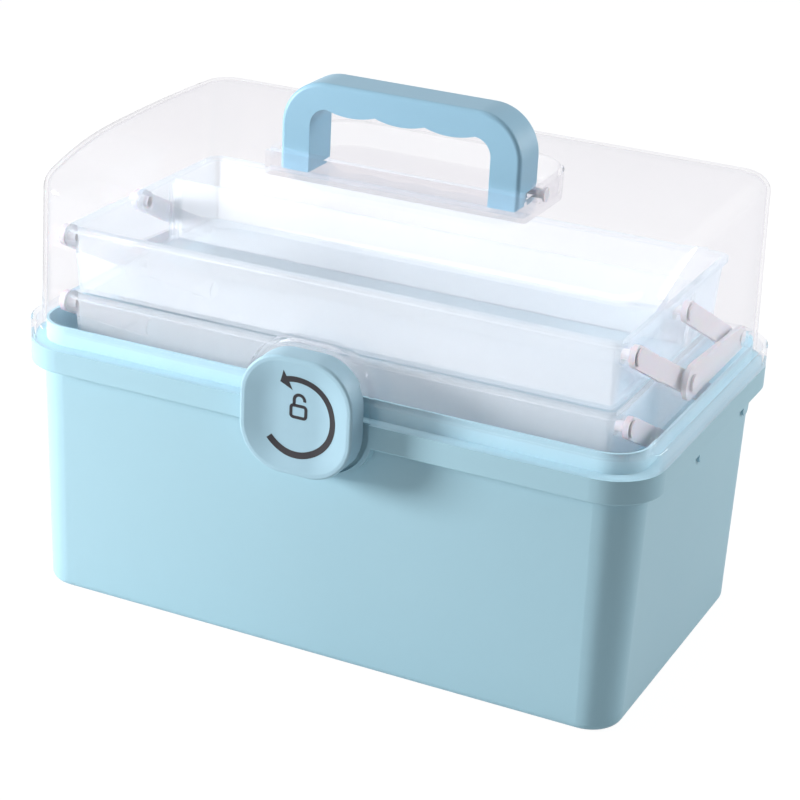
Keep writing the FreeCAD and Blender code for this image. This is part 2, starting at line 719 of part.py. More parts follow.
def makeLid():
    outside = lidBlock("lid_outside", "0")
    inside = lidBlock("lid_inside", "lid_wall")
    shell = cut("LidShell", outside, inside)
    pan = doc.addObject("Part::Common", "WellPan")
    pan.Base = lidBlock("lid_trim", "0")
    pan.Tool = wellBlock("well_outside", "well_wall", "well_floor - well_wall")
    doc.recompute()
    rim = cut("LidRimOpen", lidFlange(),
              lidOpening("lid_foot - cut_margin", "lid_flange_height + 1.5 * cut_margin"))
    pieces = [shell, pan, rim, keeper()]
    for label, side in sides:
        pieces += lidKnuckle(label, side)
        pieces.append(mirroredRod(label + "LinkBoss", side, "head_radius",
                                  "link_outer_face + 3 * arm_play", "lid_length / 2 - lid_wall / 2",
                                  "link_place", "link_height"))
    whole = fuse("LidWhole", pieces)
    open_lid = cut("LidWithWell", whole, wellBlock("well_inside", "0", "well_floor"))
    bosses = [mirroredRod(label + "BailBoss", side, "bail_boss", "bail_width / 2 + side_gap",
                          "well_width / 2 + well_wall / 2", "bail_pivot_back", "bail_pivot_height")
              for label, side in sides]
    with_bosses = fuse("LidWithBosses", [open_lid] + bosses)
    bores = [mirroredRod(label + "BailBore", side, "bail_pin + running_clearance",
                         "bail_width / 2 - bail_leg", "well_width / 2 + well_wall + cut_margin",
                         "bail_pivot_back", "bail_pivot_height") for label, side in sides]
    bores.append(hingeBores("LidHingeBores", "hinge_pin + running_clearance"))
    return cut("LidBored", with_bosses, fuse("LidBores", bores))


def keeper():
    """The lug on the lid's front that the knob's hook stands over when it is shut."""
    return box("Keeper", ("keeper_width", "knob_back - seat_gap * 2 - (lid_depth / 2 - lid_wall / 2)",
                          "keeper_height"),
               ("-keeper_width / 2", "0 - knob_back + seat_gap * 2", "knob_height + keeper_rise"))


# Bail: flat-faced handle with three finger lobes under the grip

def makeBail():
    body = newBody("bail")
    middle = "bail_front - bail_thickness / 2"
    outline = archOutline(body, "BailOutline", "XZ_Plane", "bail_width", "bail_top - bail_bottom",
                          "bail_corner", level=middle, along="bail_bottom")
    pad(body, "Bow", outline, "bail_thickness", middle=True)
    inside = archOutline(body, "InsideOutline", "XZ_Plane", "bail_width - 2 * bail_leg",
                         "grip_underside - bail_bottom", "bail_inner_corner", level=middle,
                         along="bail_bottom")
    pocket(body, "HandSpace", inside, "2 * bail_thickness", middle=True)
    pad(body, "FingerLobes", fingerLobes(body, middle), "bail_thickness", middle=True)
    fillet(body, "HeelRound", "heel_round",
           lambda edge: isLevel(edge, value("bail_bottom")) and isRearHeel(edge))
    fillet(body, "FaceRound", "bail_round", isBailOutline)
    places = (("bail_pivot_back", "bail_pivot_height"),)
    for label, side in sides:
        bore = circles(body, label + "PinOutline", "YZ_Plane", "bail_pin", places,
                       level="%d * (bail_width / 2 + cut_margin)" % side)
        pocket(body, label + "PinHole", bore, "bail_leg * bail_hole_share + cut_margin",
               forward=side < 0)
    return body


def fingerLobes(body, level):
    """Three shallow circle segments that hang below the grip."""
    sketch = newSketch(body, "LobeOutline", "XZ_Plane", level, "0", "grip_underside")
    pitch, drop = result("finger_pitch"), result("finger_drop")
    radius = (pitch * pitch / 4 + drop * drop) / (2 * drop)
    half = math.degrees(math.asin(pitch / 2 / radius))
    for count in range(3):
        middle = (count - 1) * pitch
        index = sketch.GeometryCount
        sketch.addGeometry(arc((middle, radius - drop), radius, 270 - half, 270 + half), False)
        sketch.addGeometry(line((middle + pitch / 2, 0), (middle - pitch / 2, 0)), False)
        for rule in (("Coincident", index, 2, index + 1, 1), ("Coincident", index + 1, 2, index, 1),
                     ("PointOnObject", index, 1, -1), ("PointOnObject", index, 2, -1)):
            sketch.addConstraint(Sketcher.Constraint(*rule))
        tag = "lobe%d_" % count
        words = "(finger_pitch * finger_pitch / 4 + finger_drop * finger_drop) / (2 * finger_drop)"
        rules = [(tag + "radius", Sketcher.Constraint("Radius", index, radius), words),
                 (tag + "rise", Sketcher.Constraint("DistanceY", -1, 1, index, 3, radius - drop),
                  words + " - finger_drop")]
        if count == 0:
            rules.append((tag + "place", Sketcher.Constraint("DistanceX", index, 3, -1, 1, pitch),
                          "finger_pitch"))
        elif count == 1:
            sketch.addConstraint(Sketcher.Constraint("PointOnObject", index, 3, -2))
        else:
            rules.append((tag + "place", Sketcher.Constraint("DistanceX", -1, 1, index, 3, pitch),
                          "finger_pitch"))
        sized(sketch, rules)
    return sketch


def isUpright(edge, place):
    """Whether the whole edge lies in the plane across Y at the place."""
    bounds = edge.BoundBox
    return abs(bounds.YMin - place) < closeness and abs(bounds.YMax - place) < closeness


def isRearHeel(edge):
    rear = value("bail_thickness") - value("bail_front")
    return isUpright(edge, rear)


def isBailOutline(edge):
    front = -value("bail_front")
    rear = front + value("bail_thickness")
    on_face = isUpright(edge, front) or isUpright(edge, rear)
    above_grip = edge.BoundBox.ZMax > value("grip_underside") + closeness
    return on_face and above_grip and isOuter(edge.BoundBox)


def isOuter(bounds):
    half = value("bail_width") / 2
    outer = max(abs(bounds.XMin), abs(bounds.XMax)) > half - closeness
    top = bounds.ZMax > value("bail_top") - closeness
    return outer or top


def makeBailPins():
    pins = []
    for label, side in sides:
        shank = mirroredRod(label + "BailShank", side, "bail_pin",
                            "bail_width / 2 - bail_leg * bail_pin_share",
                            "well_width / 2 + well_wall + seat_gap", "bail_pivot_back", "bail_pivot_height")
        head = mirroredRod(label + "BailHead", side, "bail_pin * pin_head_ratio",
                           "well_width / 2 + well_wall + seat_gap",
                           "well_width / 2 + well_wall + seat_gap + head_thickness",
                           "bail_pivot_back", "bail_pivot_height")
        pins.append(fuse(label + "BailPin", [shank, head]))
    return group("BailPins", pins)


# Trays: drafted clear trays with a turned-out lip and pivot bosses on the end walls

# where a stud stops short of the tray's inside, measured from the middle plane
studEnd = ("tray_length / 2 - lip_reach - tray_draft * (pivot_drop + pin_radius) / tray_height "
           "- tray_wall + blind_end")


def makeTray(label, rim, pivots, slotted):
    body = newBody(label)
    slope = "atan(tray_draft / tray_height)"
    foot = roundedRectangle(body, "FootOutline", "XY_Plane",
                            "tray_length - 2 * (lip_reach + tray_draft)",
                            "tray_depth - 2 * (lip_reach + tray_draft)",
                            "tray_corner - tray_draft", level=rim + " - tray_height",
                            along="0 - tray_shift")
    pad(body, "Walls", foot, "tray_height", taper=slope)
    lip = roundedRectangle(body, "LipOutline", "XY_Plane", "tray_length", "tray_depth",
                           "tray_corner + lip_reach", level=rim + " - lip_height",
                           along="0 - tray_shift")
    pad(body, "Lip", lip, "lip_height")
    for name, side in sides:
        boss = circles(body, name + "BossOutline", "YZ_Plane", "boss_radius", pivots,
                       level="%d * (arm_inner_face - arm_play)" % side)
        pad(body, name + "Bosses", boss,
            "arm_inner_face - arm_play - tray_length / 2 + lip_reach + tray_draft + tray_wall / 2",
            back=side > 0)
    hollow = roundedRectangle(
        body, "InsideOutline", "XY_Plane",
        "tray_length - 2 * (lip_reach + tray_draft * (1 - tray_wall / tray_height) + tray_wall)",
        "tray_depth - 2 * (lip_reach + tray_draft * (1 - tray_wall / tray_height) + tray_wall)",
        "tray_corner - tray_draft * (1 - tray_wall / tray_height) - tray_wall",
        level=rim + " - tray_height + tray_wall", along="0 - tray_shift")
    pocket(body, "Inside", hollow, "tray_height", taper=slope, forward=True)
    if slotted:
        addSlotRibs(body, rim)
    for name, side in sides:
        bore = circles(body, name + "BoreOutline", "YZ_Plane", "pin_radius", pivots,
                       level="%d * (arm_inner_face - arm_play)" % side)
        pocket(body, name + "Bores", bore, "arm_inner_face - arm_play - (%s)" % studEnd,
               forward=side < 0)
    return body


def addSlotRibs(body, rim):
    """Two upright ribs on each end wall that hold the divider's end between them."""
    for name, side in sides:
        for count, lean in enumerate((-1, 1)):
            place = "divider_place + %d * (divider_thickness / 2 + slot_play + rib_width / 2)" % lean
            rib = roundedRectangle(body, "%sRib%dOutline" % (name, count), "XY_Plane",
                                   "2 * tray_wall + tray_draft", "rib_width", "rib_width / 4",
                                   level=rim + " - tray_height + tray_wall / 2",
                                   across="%d * (tray_length / 2 - lip_reach - tray_draft / 2 - tray_wall)"
                                   % side, along=place)
            pad(body, "%sRib%d" % (name, count), rib, "tray_height - tray_wall / 2 - lip_height")


def makeDivider():
    """The long upright plate that parts the upper tray into a wide and a narrow row."""
    body = newBody("divider")
    sketch = newSketch(body, "DividerOutline", "XZ_Plane", "0 - divider_place", "0",
                       "upper_rim - tray_height + tray_wall")
    foot = "tray_length - 2 * (lip_reach + tray_draft + tray_wall + slot_play)"
    head = "tray_length - 2 * (lip_reach + tray_wall + slot_play)"
    tall = "tray_height - tray_wall - slot_play"
    a, b, c = result(foot) / 2, result(head) / 2, result(tall)
    corners = ((-a, 0), (a, 0), (b, c), (-b, c))
    for k in range(4):
        sketch.addGeometry(line(corners[k], corners[(k + 1) % 4]), False)
    for k in range(4):
        sketch.addConstraint(Sketcher.Constraint("Coincident", k, 2, (k + 1) % 4, 1))
    sketch.addConstraint(Sketcher.Constraint("Symmetric", 0, 1, 0, 2, -1, 1))
    sketch.addConstraint(Sketcher.Constraint("Symmetric", 2, 1, 2, 2, -2))
    sized(sketch, (
        ("foot", Sketcher.Constraint("DistanceX", 0, 1, 0, 2, 2 * a), foot),
        ("head", Sketcher.Constraint("DistanceX", 2, 2, 2, 1, 2 * b), head),
        ("tall", Sketcher.Constraint("DistanceY", -1, 1, 2, 1, c), tall),
    ))
    pad(body, "Plate", sketch, "divider_thickness", middle=True)
    return body


# Arms and links: flat bars with an eye at every pivot

def bar(label, inner, thickness, side, start, end, radii, eyes, pressed=()):
    """A bar between two pivots on one side; an eye turns on its pin or grips it."""
    body = newBody(label)
    sketch = newSketch(body, "BarOutline", "YZ_Plane", "%d * (%s)" % (side, inner), "0", "0")
    ends = [(result(start[0]), result(start[1])), (result(end[0]), result(end[1]))]
    near, far = result(radii[0]), result(radii[1])
    span = math.dist(*ends)
    lean = math.degrees(math.atan2(ends[1][1] - ends[0][1], ends[1][0] - ends[0][0]))
    flare = math.degrees(math.asin((near - far) / span))
    upper, lower = lean + 90 - flare, lean - 90 + flare

    def at(centre, radius, angle):
        turned = math.radians(angle)
        return (centre[0] + radius * math.cos(turned), centre[1] + radius * math.sin(turned))

    sketch.addGeometry(arc(ends[0], near, upper, lower + 360), False)
    sketch.addGeometry(line(at(ends[0], near, lower), at(ends[1], far, lower)), False)
    sketch.addGeometry(arc(ends[1], far, lower, upper), False)
    sketch.addGeometry(line(at(ends[1], far, upper), at(ends[0], near, upper)), False)
    for rule in (("Tangent", 0, 2, 1, 1), ("Tangent", 1, 2, 2, 1), ("Tangent", 2, 2, 3, 1),
                 ("Tangent", 3, 2, 0, 1)):
        sketch.addConstraint(Sketcher.Constraint(*rule))
    rules = [("near", Sketcher.Constraint("Radius", 0, near), radii[0]),
             ("far", Sketcher.Constraint("Radius", 2, far), radii[1])]
    for tag, index, place, words in (("near", 0, ends[0], start), ("far", 2, ends[1], end)):
        for axis, number, word in (("DistanceX", place[0], words[0]), ("DistanceY", place[1], words[1])):
            if number >= 0:
                rule = Sketcher.Constraint(axis, -1, 1, index, 3, number)
                rules.append((tag + axis, rule, word))
            else:
                rule = Sketcher.Constraint(axis, index, 3, -1, 1, -number)
                rules.append((tag + axis, rule, "-(" + word + ")"))
    sized(sketch, rules)
    drawCircles(sketch, "pin_bore", eyes, 0)
    drawCircles(sketch, "pin_radius", pressed, len(eyes))
    pad(body, "Bar", sketch, thickness, back=side < 0)
    return body


upperFront = ("0 - front_pivot", "upper_pivot")
upperMiddle = ("middle_line", "upper_pivot")
middleFront = ("0 - front_pivot", "middle_pivot")
middleMiddle = ("middle_line", "middle_pivot")
middleRear = ("rear_line", "middle_pivot")
baseFront = ("base_front_line", "base_pivot")
baseRear = ("base_rear_line", "base_pivot")
linkEnd = ("link_place", "link_height")
armRadii = ("arm_half_width", "arm_half_width")


def makeArms():
    for label, side in sides:
        long_arm = bar("long_arm", "arm_inner_face", "arm_thickness", side, upperFront, baseRear,
                       armRadii, (upperFront, middleMiddle, baseRear))
        node(long_arm, "long_arm_" + label)
        lower = bar("lower_arm", "arm_inner_face", "arm_thickness", side, middleFront, baseFront,
                    armRadii, (middleFront, baseFront))
        node(lower, "lower_arm_" + label)
        upper = bar("upper_arm", "arm_inner_face", "arm_thickness", side, upperMiddle, middleRear,
                    armRadii, (upperMiddle, middleRear))
        node(upper, "upper_arm_" + label)
        link = bar("lid_link", "link_inner_face", "link_thickness", side, middleMiddle, linkEnd,
                   ("link_eye", "link_tip"), (middleMiddle,), (linkEnd,))
        node(link, "lid_link_" + label)


def headedPin(name, side, inner, outer, place, near="0", far="0"):
    """A shank between two faces, with a head of the given thickness past either of them."""
    pieces = [mirroredRod(name + "Shank", side, "pin_radius", inner, outer, *place)]
    if near != "0":
        pieces.append(mirroredRod(name + "Near", side, "head_radius", "(%s) - %s" % (inner, near),
                                  inner, *place))
    if far != "0":
        pieces.append(mirroredRod(name + "Far", side, "head_radius", outer,
                                  "(%s) + %s" % (outer, far), *place))
    return fuse(name, pieces)


def makePins(title, inner, outer, places, near="0", far="0"):
    pins = []
    for label, side in sides:
        for count, place in enumerate(places):
            name = "%s%s%d" % (title, label, count)
            pins.append(headedPin(name, side, inner, outer, place, near, far))
    node(group(title, pins), title)


def makePivotPins():
    """Studs pressed into the trays, headed pins through the tub's ends and the lid links."""
    arm = "arm_outer_face + arm_play"
    wall = "tub_length / 2 - tub_draft * (tub_height - base_pivot - head_radius) / tub_height"
    makePins("upper_tray_pins", studEnd, arm, (upperFront, upperMiddle), far="thin_head")
    makePins("middle_tray_pins", studEnd, arm, (middleFront, middleRear), far="thin_head")
    makePins("link_pivot_pins", studEnd, "link_outer_face + arm_play", (middleMiddle,),
             far="head_thickness")
    makePins("base_pivot_pins", "arm_inner_face - arm_play", wall, (baseFront, baseRear),
             near="head_thickness", far="head_thickness")
    makePins("lid_link_pins", "link_inner_face", "link_outer_face + 2 * arm_play", (linkEnd,),
             near="thin_head")


def makeCollars():
    """Two spacer rings on each long pin, between the arm and the lid link."""
    rings = []
    for label, side in sides:
        for count in range(2):
            inner = "arm_outer_face + arm_play / 2 + %d * (collar_thickness + arm_play)" % count
            name = "%sCollar%d" % (label, count)
            disc = mirroredRod(name + "Disc", side, "collar_radius", inner,
                               inner + " + collar_thickness", *middleMiddle)
            hole = mirroredRod(name + "Hole", side, "pin_bore", inner + " - cut_margin",
                               inner + " + collar_thickness + cut_margin", *middleMiddle)
            rings.append(cut(name, disc, hole))
    return group("Collars", rings)


# Rotary latch: a dished, round-cornered knob on a short hollow spindle

def makeKnob():
    body = newBody("knob")
    outline = roundedRectangle(body, "KnobOutline", "XZ_Plane", "knob_size", "knob_size",
                               "knob_corner", level="knob_back", along="knob_height")
    pad(body, "Block", outline, "knob_depth")
    dish = roundedRectangle(body, "DishOutline", "XZ_Plane", "knob_size - 2 * dish_rim",
                            "knob_size - 2 * dish_rim", "knob_corner - dish_rim",
                            level="knob_front", along="knob_height")
    pocket(body, "Dish", dish, "dish_depth", taper="-atan(dish_slope / dish_depth)")
    fillet(body, "DishRound", "dish_round", isDishFloor)
    fillet(body, "FaceRound", "knob_round", isKnobRim)
    hollow = roundedRectangle(body, "HollowOutline", "XZ_Plane", "knob_size - 2 * knob_wall",
                              "knob_size - 2 * knob_wall", "knob_corner - knob_wall",
                              level="knob_back", along="knob_height")
    pocket(body, "Hollow", hollow, "knob_depth - dish_depth - knob_wall", forward=True)
    notch = roundedRectangle(body, "NotchOutline", "XZ_Plane", "knob_size / 4",
                             "2 * notch_top", "knob_round", level="knob_back",
                             across="knob_size / 2", along="knob_height")
    pocket(body, "Notch", notch, "notch_depth", forward=True)
    hook = roundedRectangle(body, "HookOutline", "XZ_Plane", "keeper_width", "hook_height",
                            "knob_round / 2", level="knob_back",
                            along="knob_height + knob_size / 2 - knob_wall - hook_height / 2 + hook_gap")
    pad(body, "Hook", hook, "knob_depth - dish_depth - knob_wall / 2")
    stem = circles(body, "StemOutline", "XZ_Plane", "spindle_radius", (("0", "knob_height"),),
                   level="front_face - tongue_thickness")
    pad(body, "Stem", stem, "knob_standoff + knob_depth + tongue_thickness - dish_depth - knob_wall / 2")
    neck = circles(body, "NeckOutline", "XZ_Plane", "spindle_neck", (("0", "knob_height"),),
                   level="front_face - tongue_thickness - washer_thickness - 2 * seat_gap")
    pad(body, "Neck", neck, "washer_thickness + 4 * seat_gap")
    return body


def isKnobRim(edge):
    return isUpright(edge, -value("knob_front"))


def isDishFloor(edge):
    return isUpright(edge, value("dish_depth") - value("knob_front"))


def makeWasher():
    """The push-on ring behind the tongue that keeps the spindle in its bore."""
    body = newBody("washer")
    ring = circles(body, "RingOutline", "XZ_Plane", "washer_radius", (("0", "knob_height"),),
                   level="front_face - tongue_thickness - seat_gap")
    drawCircles(ring, "spindle_neck", (("0", "knob_height"),), 1)
    pad(body, "Ring", ring, "washer_thickness", back=True)
    return body


node(makeTub(), "base_tub")
node(makeLid(), "clear_lid")
node(makeHingePins(), "hinge_pins")
node(makeBail(), "handle")
node(makeBailPins(), "handle_pins")
node(makeTray("upper_tray_body", "upper_rim", (upperFront, upperMiddle), True), "upper_tray")
node(makeDivider(), "upper_tray_divider")
node(makeTray("middle_tray_body", "middle_rim", (middleFront, middleMiddle, middleRear), False),
     "middle_tray")
makeArms()
makePivotPins()
node(makeCollars(), "link_collars")
node(makeKnob(), "latch_knob")
node(makeWasher(), "knob_washer")

doc.recompute()
for thing in doc.Objects:
    if "Invalid" in thing.State or "Error" in thing.State:
        raise RuntimeError(thing.Label + " failed: " + str(thing.State))

os.makedirs("parts", exist_ok=True)
for thing in nodes:
    shape = thing.Shape
    if shape.isNull() or not shape.isValid() or not shape.Solids:
        raise RuntimeError(thing.Label + " has no valid solid")
    shape.exportStep("parts/" + thing.Label + ".step")
    print(thing.Label, len(shape.Solids), round(shape.Volume / 1000, 2))
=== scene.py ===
import math

import bpy
from mathutils import Matrix, Vector


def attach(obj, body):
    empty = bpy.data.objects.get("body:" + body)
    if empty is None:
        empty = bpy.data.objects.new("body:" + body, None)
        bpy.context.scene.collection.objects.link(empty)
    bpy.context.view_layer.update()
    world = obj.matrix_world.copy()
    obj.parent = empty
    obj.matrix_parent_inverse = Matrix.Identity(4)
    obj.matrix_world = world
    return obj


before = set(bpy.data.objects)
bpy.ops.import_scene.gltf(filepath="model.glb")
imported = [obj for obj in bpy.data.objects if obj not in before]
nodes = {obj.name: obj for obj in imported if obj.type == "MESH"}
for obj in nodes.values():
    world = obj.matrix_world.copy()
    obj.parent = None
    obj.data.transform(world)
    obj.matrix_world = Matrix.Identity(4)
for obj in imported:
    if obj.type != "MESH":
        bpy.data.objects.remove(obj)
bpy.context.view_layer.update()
bpy.ops.object.select_all(action="DESELECT")
print("frame loaded:", len(nodes), "pieces")

mm = 0.001


def toLinear(colour):
    # colours are written as they look on screen, 0 to 255
    parts = [part / 255 for part in colour]
    return tuple(p / 12.92 if p <= 0.04045 else ((p + 0.055) / 1.055) ** 2.4 for p in parts) + (1.0,)


# camera: the photograph's view, worked out from the box's straight edges
cameraSettings = {
    "place": (0.4515, -0.9750, 0.5545),
    "turnLeft": 24.788,
    "lookDown": 22.775,
    "roll": 2.925,
    "lens": 104.90,
}


def placeCamera(settings):
    bpy.ops.object.camera_add(location=settings["place"])
    camera = bpy.context.object
    turn = Matrix.Rotation(math.radians(settings["turnLeft"]), 3, "Z")
    tilt = Matrix.Rotation(math.radians(90 - settings["lookDown"]), 3, "X")
    roll = Matrix.Rotation(math.radians(settings["roll"]), 3, "Z")
    camera.rotation_euler = (turn @ tilt @ roll).to_euler()
    camera.data.sensor_width = 36
    camera.data.lens = settings["lens"]
    camera.data.clip_start = 0.05
    bpy.context.scene.camera = camera


placeCamera(cameraSettings)
bpy.context.scene.view_settings.view_transform = "Standard"
print("camera placed")


# studio: dim pale room, a soft key lamp low on the left, a weaker one behind on the right
studioSettings = {
    "roomColour": (0.89, 0.955, 1.0),
    "roomStrength": 0.21,
    "floorSize": 14.0,
    "floorColour": (0.80, 0.80, 0.80, 1.0),
    "seenColour": (0.12, 0.12, 0.12, 1.0),
    "floorGlow": 0.95,
    "lamps": (
        {"name": "keyLamp", "place": (-1.20, -0.70, 0.38), "size": 0.40, "power": 23.0},
        {"name": "rightLamp", "place": (1.2, 1.1, 0.60), "size": 0.8, "power": 13.0},
        {"name": "topLamp", "place": (-0.2, -0.1, 1.7), "size": 1.1, "power": 6.5},
    ),
}


# how much of the bright surroundings light loses that matt plastic has scattered
scatterLoss = 0.6


def seenRay(tree):
    # 1 for rays that come straight, mirrored or through clear plastic to the eye, 0 for light on its way
    path = tree.nodes.new("ShaderNodeLightPath")
    seen = path.outputs["Is Camera Ray"]
    for name in ("Is Glossy Ray", "Is Transmission Ray"):
        either = tree.nodes.new("ShaderNodeMath")
        either.operation = "MAXIMUM"
        tree.links.new(seen, either.inputs[0])
        tree.links.new(path.outputs[name], either.inputs[1])
        seen = either.outputs[0]
    scattered = tree.nodes.new("ShaderNodeMath")
    scattered.operation = "MULTIPLY_ADD"
    scattered.use_clamp = True
    scattered.inputs[1].default_value = -scatterLoss
    tree.links.new(path.outputs["Diffuse Depth"], scattered.inputs[0])
    tree.links.new(seen, scattered.inputs[2])
    return scattered.outputs[0]


def makeRoom(settings):
    world = bpy.data.worlds.new("paleRoom")
    bpy.context.scene.world = world
    world.use_nodes = True
    tree = world.node_tree
    tree.nodes.clear()
    light = tree.nodes.new("ShaderNodeBackground")
    light.inputs["Color"].default_value = (*settings["roomColour"], 1)
    light.inputs["Strength"].default_value = settings["roomStrength"]
    shown = tree.nodes.new("ShaderNodeBackground")
    shown.inputs["Color"].default_value = (1, 1, 1, 1)
    shown.inputs["Strength"].default_value = 1.0
    mix = tree.nodes.new("ShaderNodeMixShader")
    output = tree.nodes.new("ShaderNodeOutputWorld")
    tree.links.new(seenRay(tree), mix.inputs[0])
    tree.links.new(light.outputs[0], mix.inputs[1])
    tree.links.new(shown.outputs[0], mix.inputs[2])
    tree.links.new(mix.outputs[0], output.inputs["Surface"])


def makeFloor(settings):
    bpy.ops.mesh.primitive_plane_add(size=settings["floorSize"], location=(0, 0, 0))
    floor = bpy.context.object
    floor.name = "studioFloor"
    material = bpy.data.materials.new("paleFloor")
    material.use_nodes = True
    tree = material.node_tree
    tree.nodes.clear()
    # the floor lights the box as white paper would, and is shown paler than its own shadow
    paper = tree.nodes.new("ShaderNodeBsdfDiffuse")
    paper.inputs["Color"].default_value = settings["floorColour"]
    faint = tree.nodes.new("ShaderNodeBsdfDiffuse")
    faint.inputs["Color"].default_value = settings["seenColour"]
    glow = tree.nodes.new("ShaderNodeEmission")
    glow.inputs["Strength"].default_value = settings["floorGlow"]
    both = tree.nodes.new("ShaderNodeAddShader")
    mix = tree.nodes.new("ShaderNodeMixShader")
    output = tree.nodes.new("ShaderNodeOutputMaterial")
    tree.links.new(faint.outputs[0], both.inputs[0])
    tree.links.new(glow.outputs[0], both.inputs[1])
    tree.links.new(seenRay(tree), mix.inputs[0])
    tree.links.new(paper.outputs[0], mix.inputs[1])
    tree.links.new(both.outputs[0], mix.inputs[2])
    tree.links.new(mix.outputs[0], output.inputs["Surface"])
    floor.data.materials.append(material)


def makeLamps(settings):
    for lamp in settings["lamps"]:
        bpy.ops.object.light_add(type="AREA", location=lamp["place"])
        light = bpy.context.object
        light.name = lamp["name"]
        light.data.shape = "DISK"
        light.data.size = lamp["size"]
        light.data.energy = lamp["power"]
        toBox = Vector((0, 0, 0.13)) - Vector(lamp["place"])
        light.rotation_euler = toBox.to_track_quat("-Z", "Y").to_euler()


makeRoom(studioSettings)
makeFloor(studioSettings)
makeLamps(studioSettings)
print("studio lit")


# shared effects: moulded skin for the opaque plastics, cast skin for the clear ones
def newSocket(group, name, way, kind, value=None):
    socket = group.interface.new_socket(name=name, in_out=way, socket_type=kind)
    if value is not None:
        socket.default_value = value
    return socket


def makeMouldedSkin():
    group = bpy.data.node_groups.new("mouldedSkin", "ShaderNodeTree")
    newSocket(group, "Vector", "INPUT", "NodeSocketVector")
    newSocket(group, "Colour", "INPUT", "NodeSocketColor", (0.5, 0.5, 0.5, 1))
    newSocket(group, "Flow Colour", "INPUT", "NodeSocketColor", (0.5, 0.5, 0.5, 1))
    newSocket(group, "Gloss", "INPUT", "NodeSocketFloat", 0.3)
    newSocket(group, "Gloss Spread", "INPUT", "NodeSocketFloat", 0.08)
    newSocket(group, "Grain Scale", "INPUT", "NodeSocketFloat", 900.0)
    newSocket(group, "Colour", "OUTPUT", "NodeSocketColor")
    newSocket(group, "Roughness", "OUTPUT", "NodeSocketFloat")
    newSocket(group, "Height", "OUTPUT", "NodeSocketFloat")
    add, link = group.nodes.new, group.links.new
    given, out = add("NodeGroupInput"), add("NodeGroupOutput")
    flow = add("ShaderNodeTexNoise")  # slow colour drift of the melt
    flow.inputs["Scale"].default_value = 9.0
    flow.inputs["Detail"].default_value = 3.0
    flow.inputs["Distortion"].default_value = 0.6
    colourBlend = add("ShaderNodeMix")
    colourBlend.data_type = "RGBA"
    grain = add("ShaderNodeTexNoise")
    grain.inputs["Detail"].default_value = 2.0
    rub = add("ShaderNodeTexNoise")  # handling marks that dull the gloss in patches
    rub.inputs["Scale"].default_value = 38.0
    rub.inputs["Detail"].default_value = 5.0
    spread = add("ShaderNodeMath")
    spread.operation = "MULTIPLY_ADD"
    link(given.outputs["Vector"], flow.inputs["Vector"])
    link(given.outputs["Vector"], grain.inputs["Vector"])
    link(given.outputs["Vector"], rub.inputs["Vector"])
    link(given.outputs["Grain Scale"], grain.inputs["Scale"])
    link(flow.outputs["Fac"], colourBlend.inputs["Factor"])
    link(given.outputs["Colour"], colourBlend.inputs[6])
    link(given.outputs["Flow Colour"], colourBlend.inputs[7])
    link(rub.outputs["Fac"], spread.inputs[0])
    link(given.outputs["Gloss Spread"], spread.inputs[1])
    link(given.outputs["Gloss"], spread.inputs[2])
    link(colourBlend.outputs[2], out.inputs["Colour"])
    link(spread.outputs[0], out.inputs["Roughness"])
    link(grain.outputs["Fac"], out.inputs["Height"])
    return group


def makeCastSkin():
    group = bpy.data.node_groups.new("castSkin", "ShaderNodeTree")
    newSocket(group, "Vector", "INPUT", "NodeSocketVector")
    newSocket(group, "Gloss", "INPUT", "NodeSocketFloat", 0.02)
    newSocket(group, "Haze", "INPUT", "NodeSocketFloat", 0.06)
    newSocket(group, "Wave Scale", "INPUT", "NodeSocketFloat", 14.0)
    newSocket(group, "Roughness", "OUTPUT", "NodeSocketFloat")
    newSocket(group, "Height", "OUTPUT", "NodeSocketFloat")
    add, link = group.nodes.new, group.links.new
    given, out = add("NodeGroupInput"), add("NodeGroupOutput")
    wave = add("ShaderNodeTexNoise")  # slight waviness of a moulded clear wall
    wave.inputs["Detail"].default_value = 1.5
    scuff = add("ShaderNodeTexNoise")
    scuff.inputs["Scale"].default_value = 55.0
    scuff.inputs["Detail"].default_value = 6.0
    steep = add("ShaderNodeMath")
    steep.operation = "POWER"
    steep.inputs[1].default_value = 3.0
    rough = add("ShaderNodeMath")
    rough.operation = "MULTIPLY_ADD"
    link(given.outputs["Vector"], wave.inputs["Vector"])
    link(given.outputs["Vector"], scuff.inputs["Vector"])
    link(given.outputs["Wave Scale"], wave.inputs["Scale"])
    link(scuff.outputs["Fac"], steep.inputs[0])
    link(steep.outputs[0], rough.inputs[0])
    link(given.outputs["Haze"], rough.inputs[1])
    link(given.outputs["Gloss"], rough.inputs[2])
    link(rough.outputs[0], out.inputs["Roughness"])
    link(wave.outputs["Fac"], out.inputs["Height"])
    return group


mouldedSkin = makeMouldedSkin()
castSkin = makeCastSkin()


def startMaterial(name, group):
    material = bpy.data.materials.new(name)
    material.use_nodes = True
    tree = material.node_tree
    shader = tree.nodes["Principled BSDF"]
    place = tree.nodes.new("ShaderNodeTexCoord")
    skin = tree.nodes.new("ShaderNodeGroup")
    skin.node_tree = group
    bump = tree.nodes.new("ShaderNodeBump")
    tree.links.new(place.outputs["Object"], skin.inputs["Vector"])
    tree.links.new(skin.outputs["Roughness"], shader.inputs["Roughness"])
    tree.links.new(skin.outputs["Height"], bump.inputs["Height"])
    tree.links.new(bump.outputs["Normal"], shader.inputs["Normal"])
    return material, tree, shader, skin, bump


